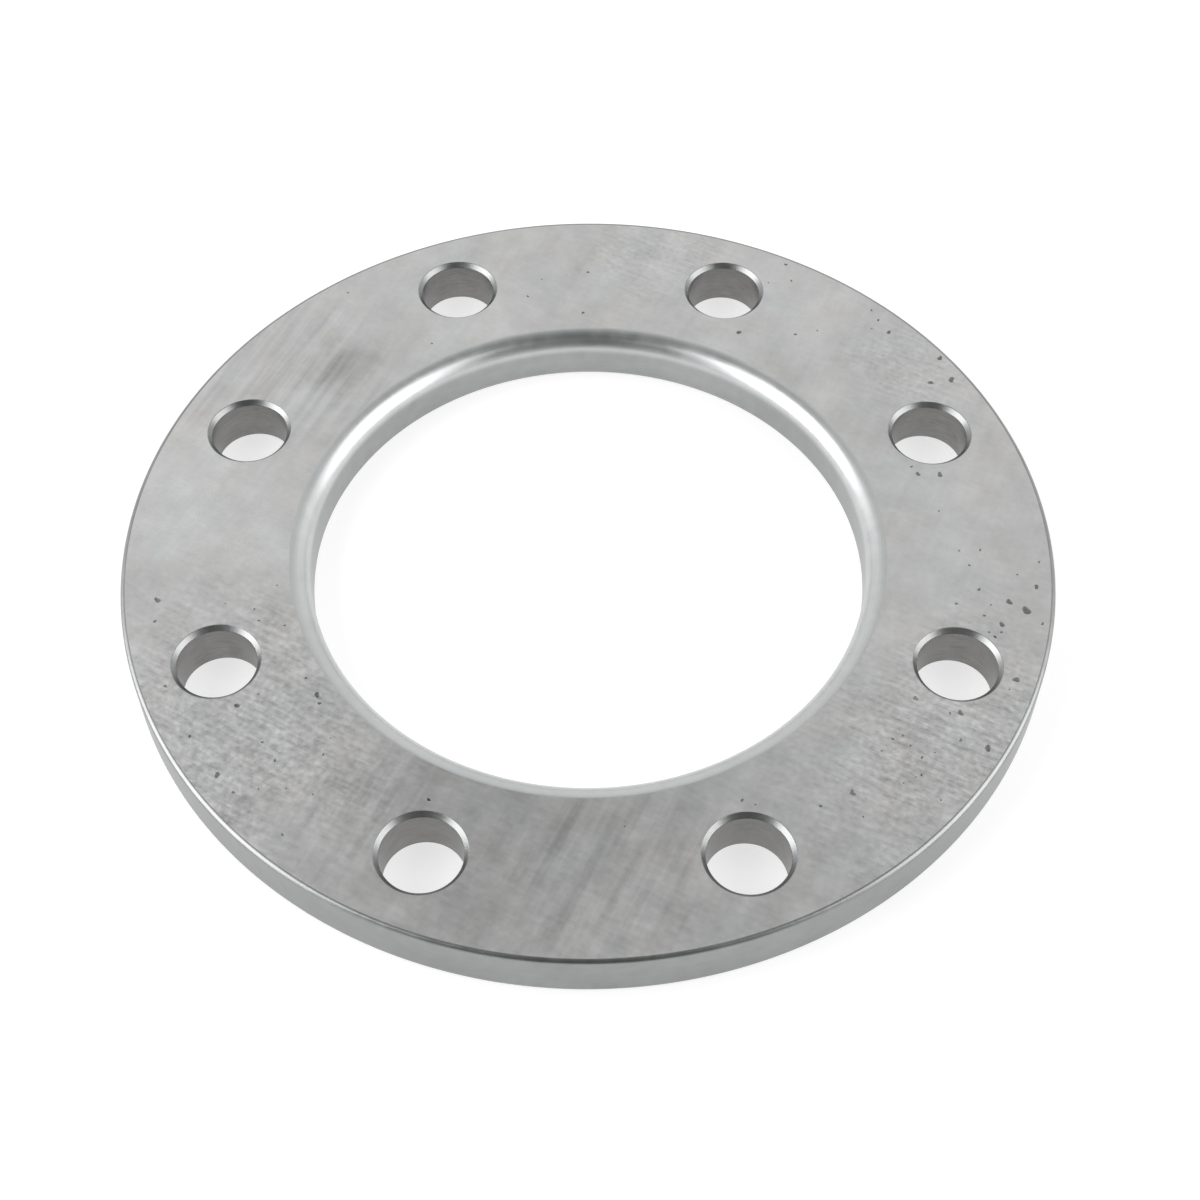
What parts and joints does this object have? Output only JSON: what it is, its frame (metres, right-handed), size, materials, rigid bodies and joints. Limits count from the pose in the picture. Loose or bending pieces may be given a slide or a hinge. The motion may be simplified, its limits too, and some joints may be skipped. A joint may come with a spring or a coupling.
{
  "type": "seamless rolled ring forging",
  "caption": "Flat steel backing ring machined from a rolled ring forging, with a widely rounded bore mouth on one face and evenly spaced bolt holes round the bore.",
  "frame": {"origin": "centre of the bore in the plane of the flat underside", "axes": "+Z along the bore, from the flat underside to the face with the rounded bore mouth; +X and +Y each lie midway between two bolt holes"},
  "size_m": [0.215, 0.215, 0.012],
  "materials": {
    "steel": "dull bare steel with a soft clouded sheen, faint straight grinding marks on the upper face and a few small pits"
  },
  "bodies": {
    "root": {"flange_ring": "steel"}
  },
  "joints": []
}
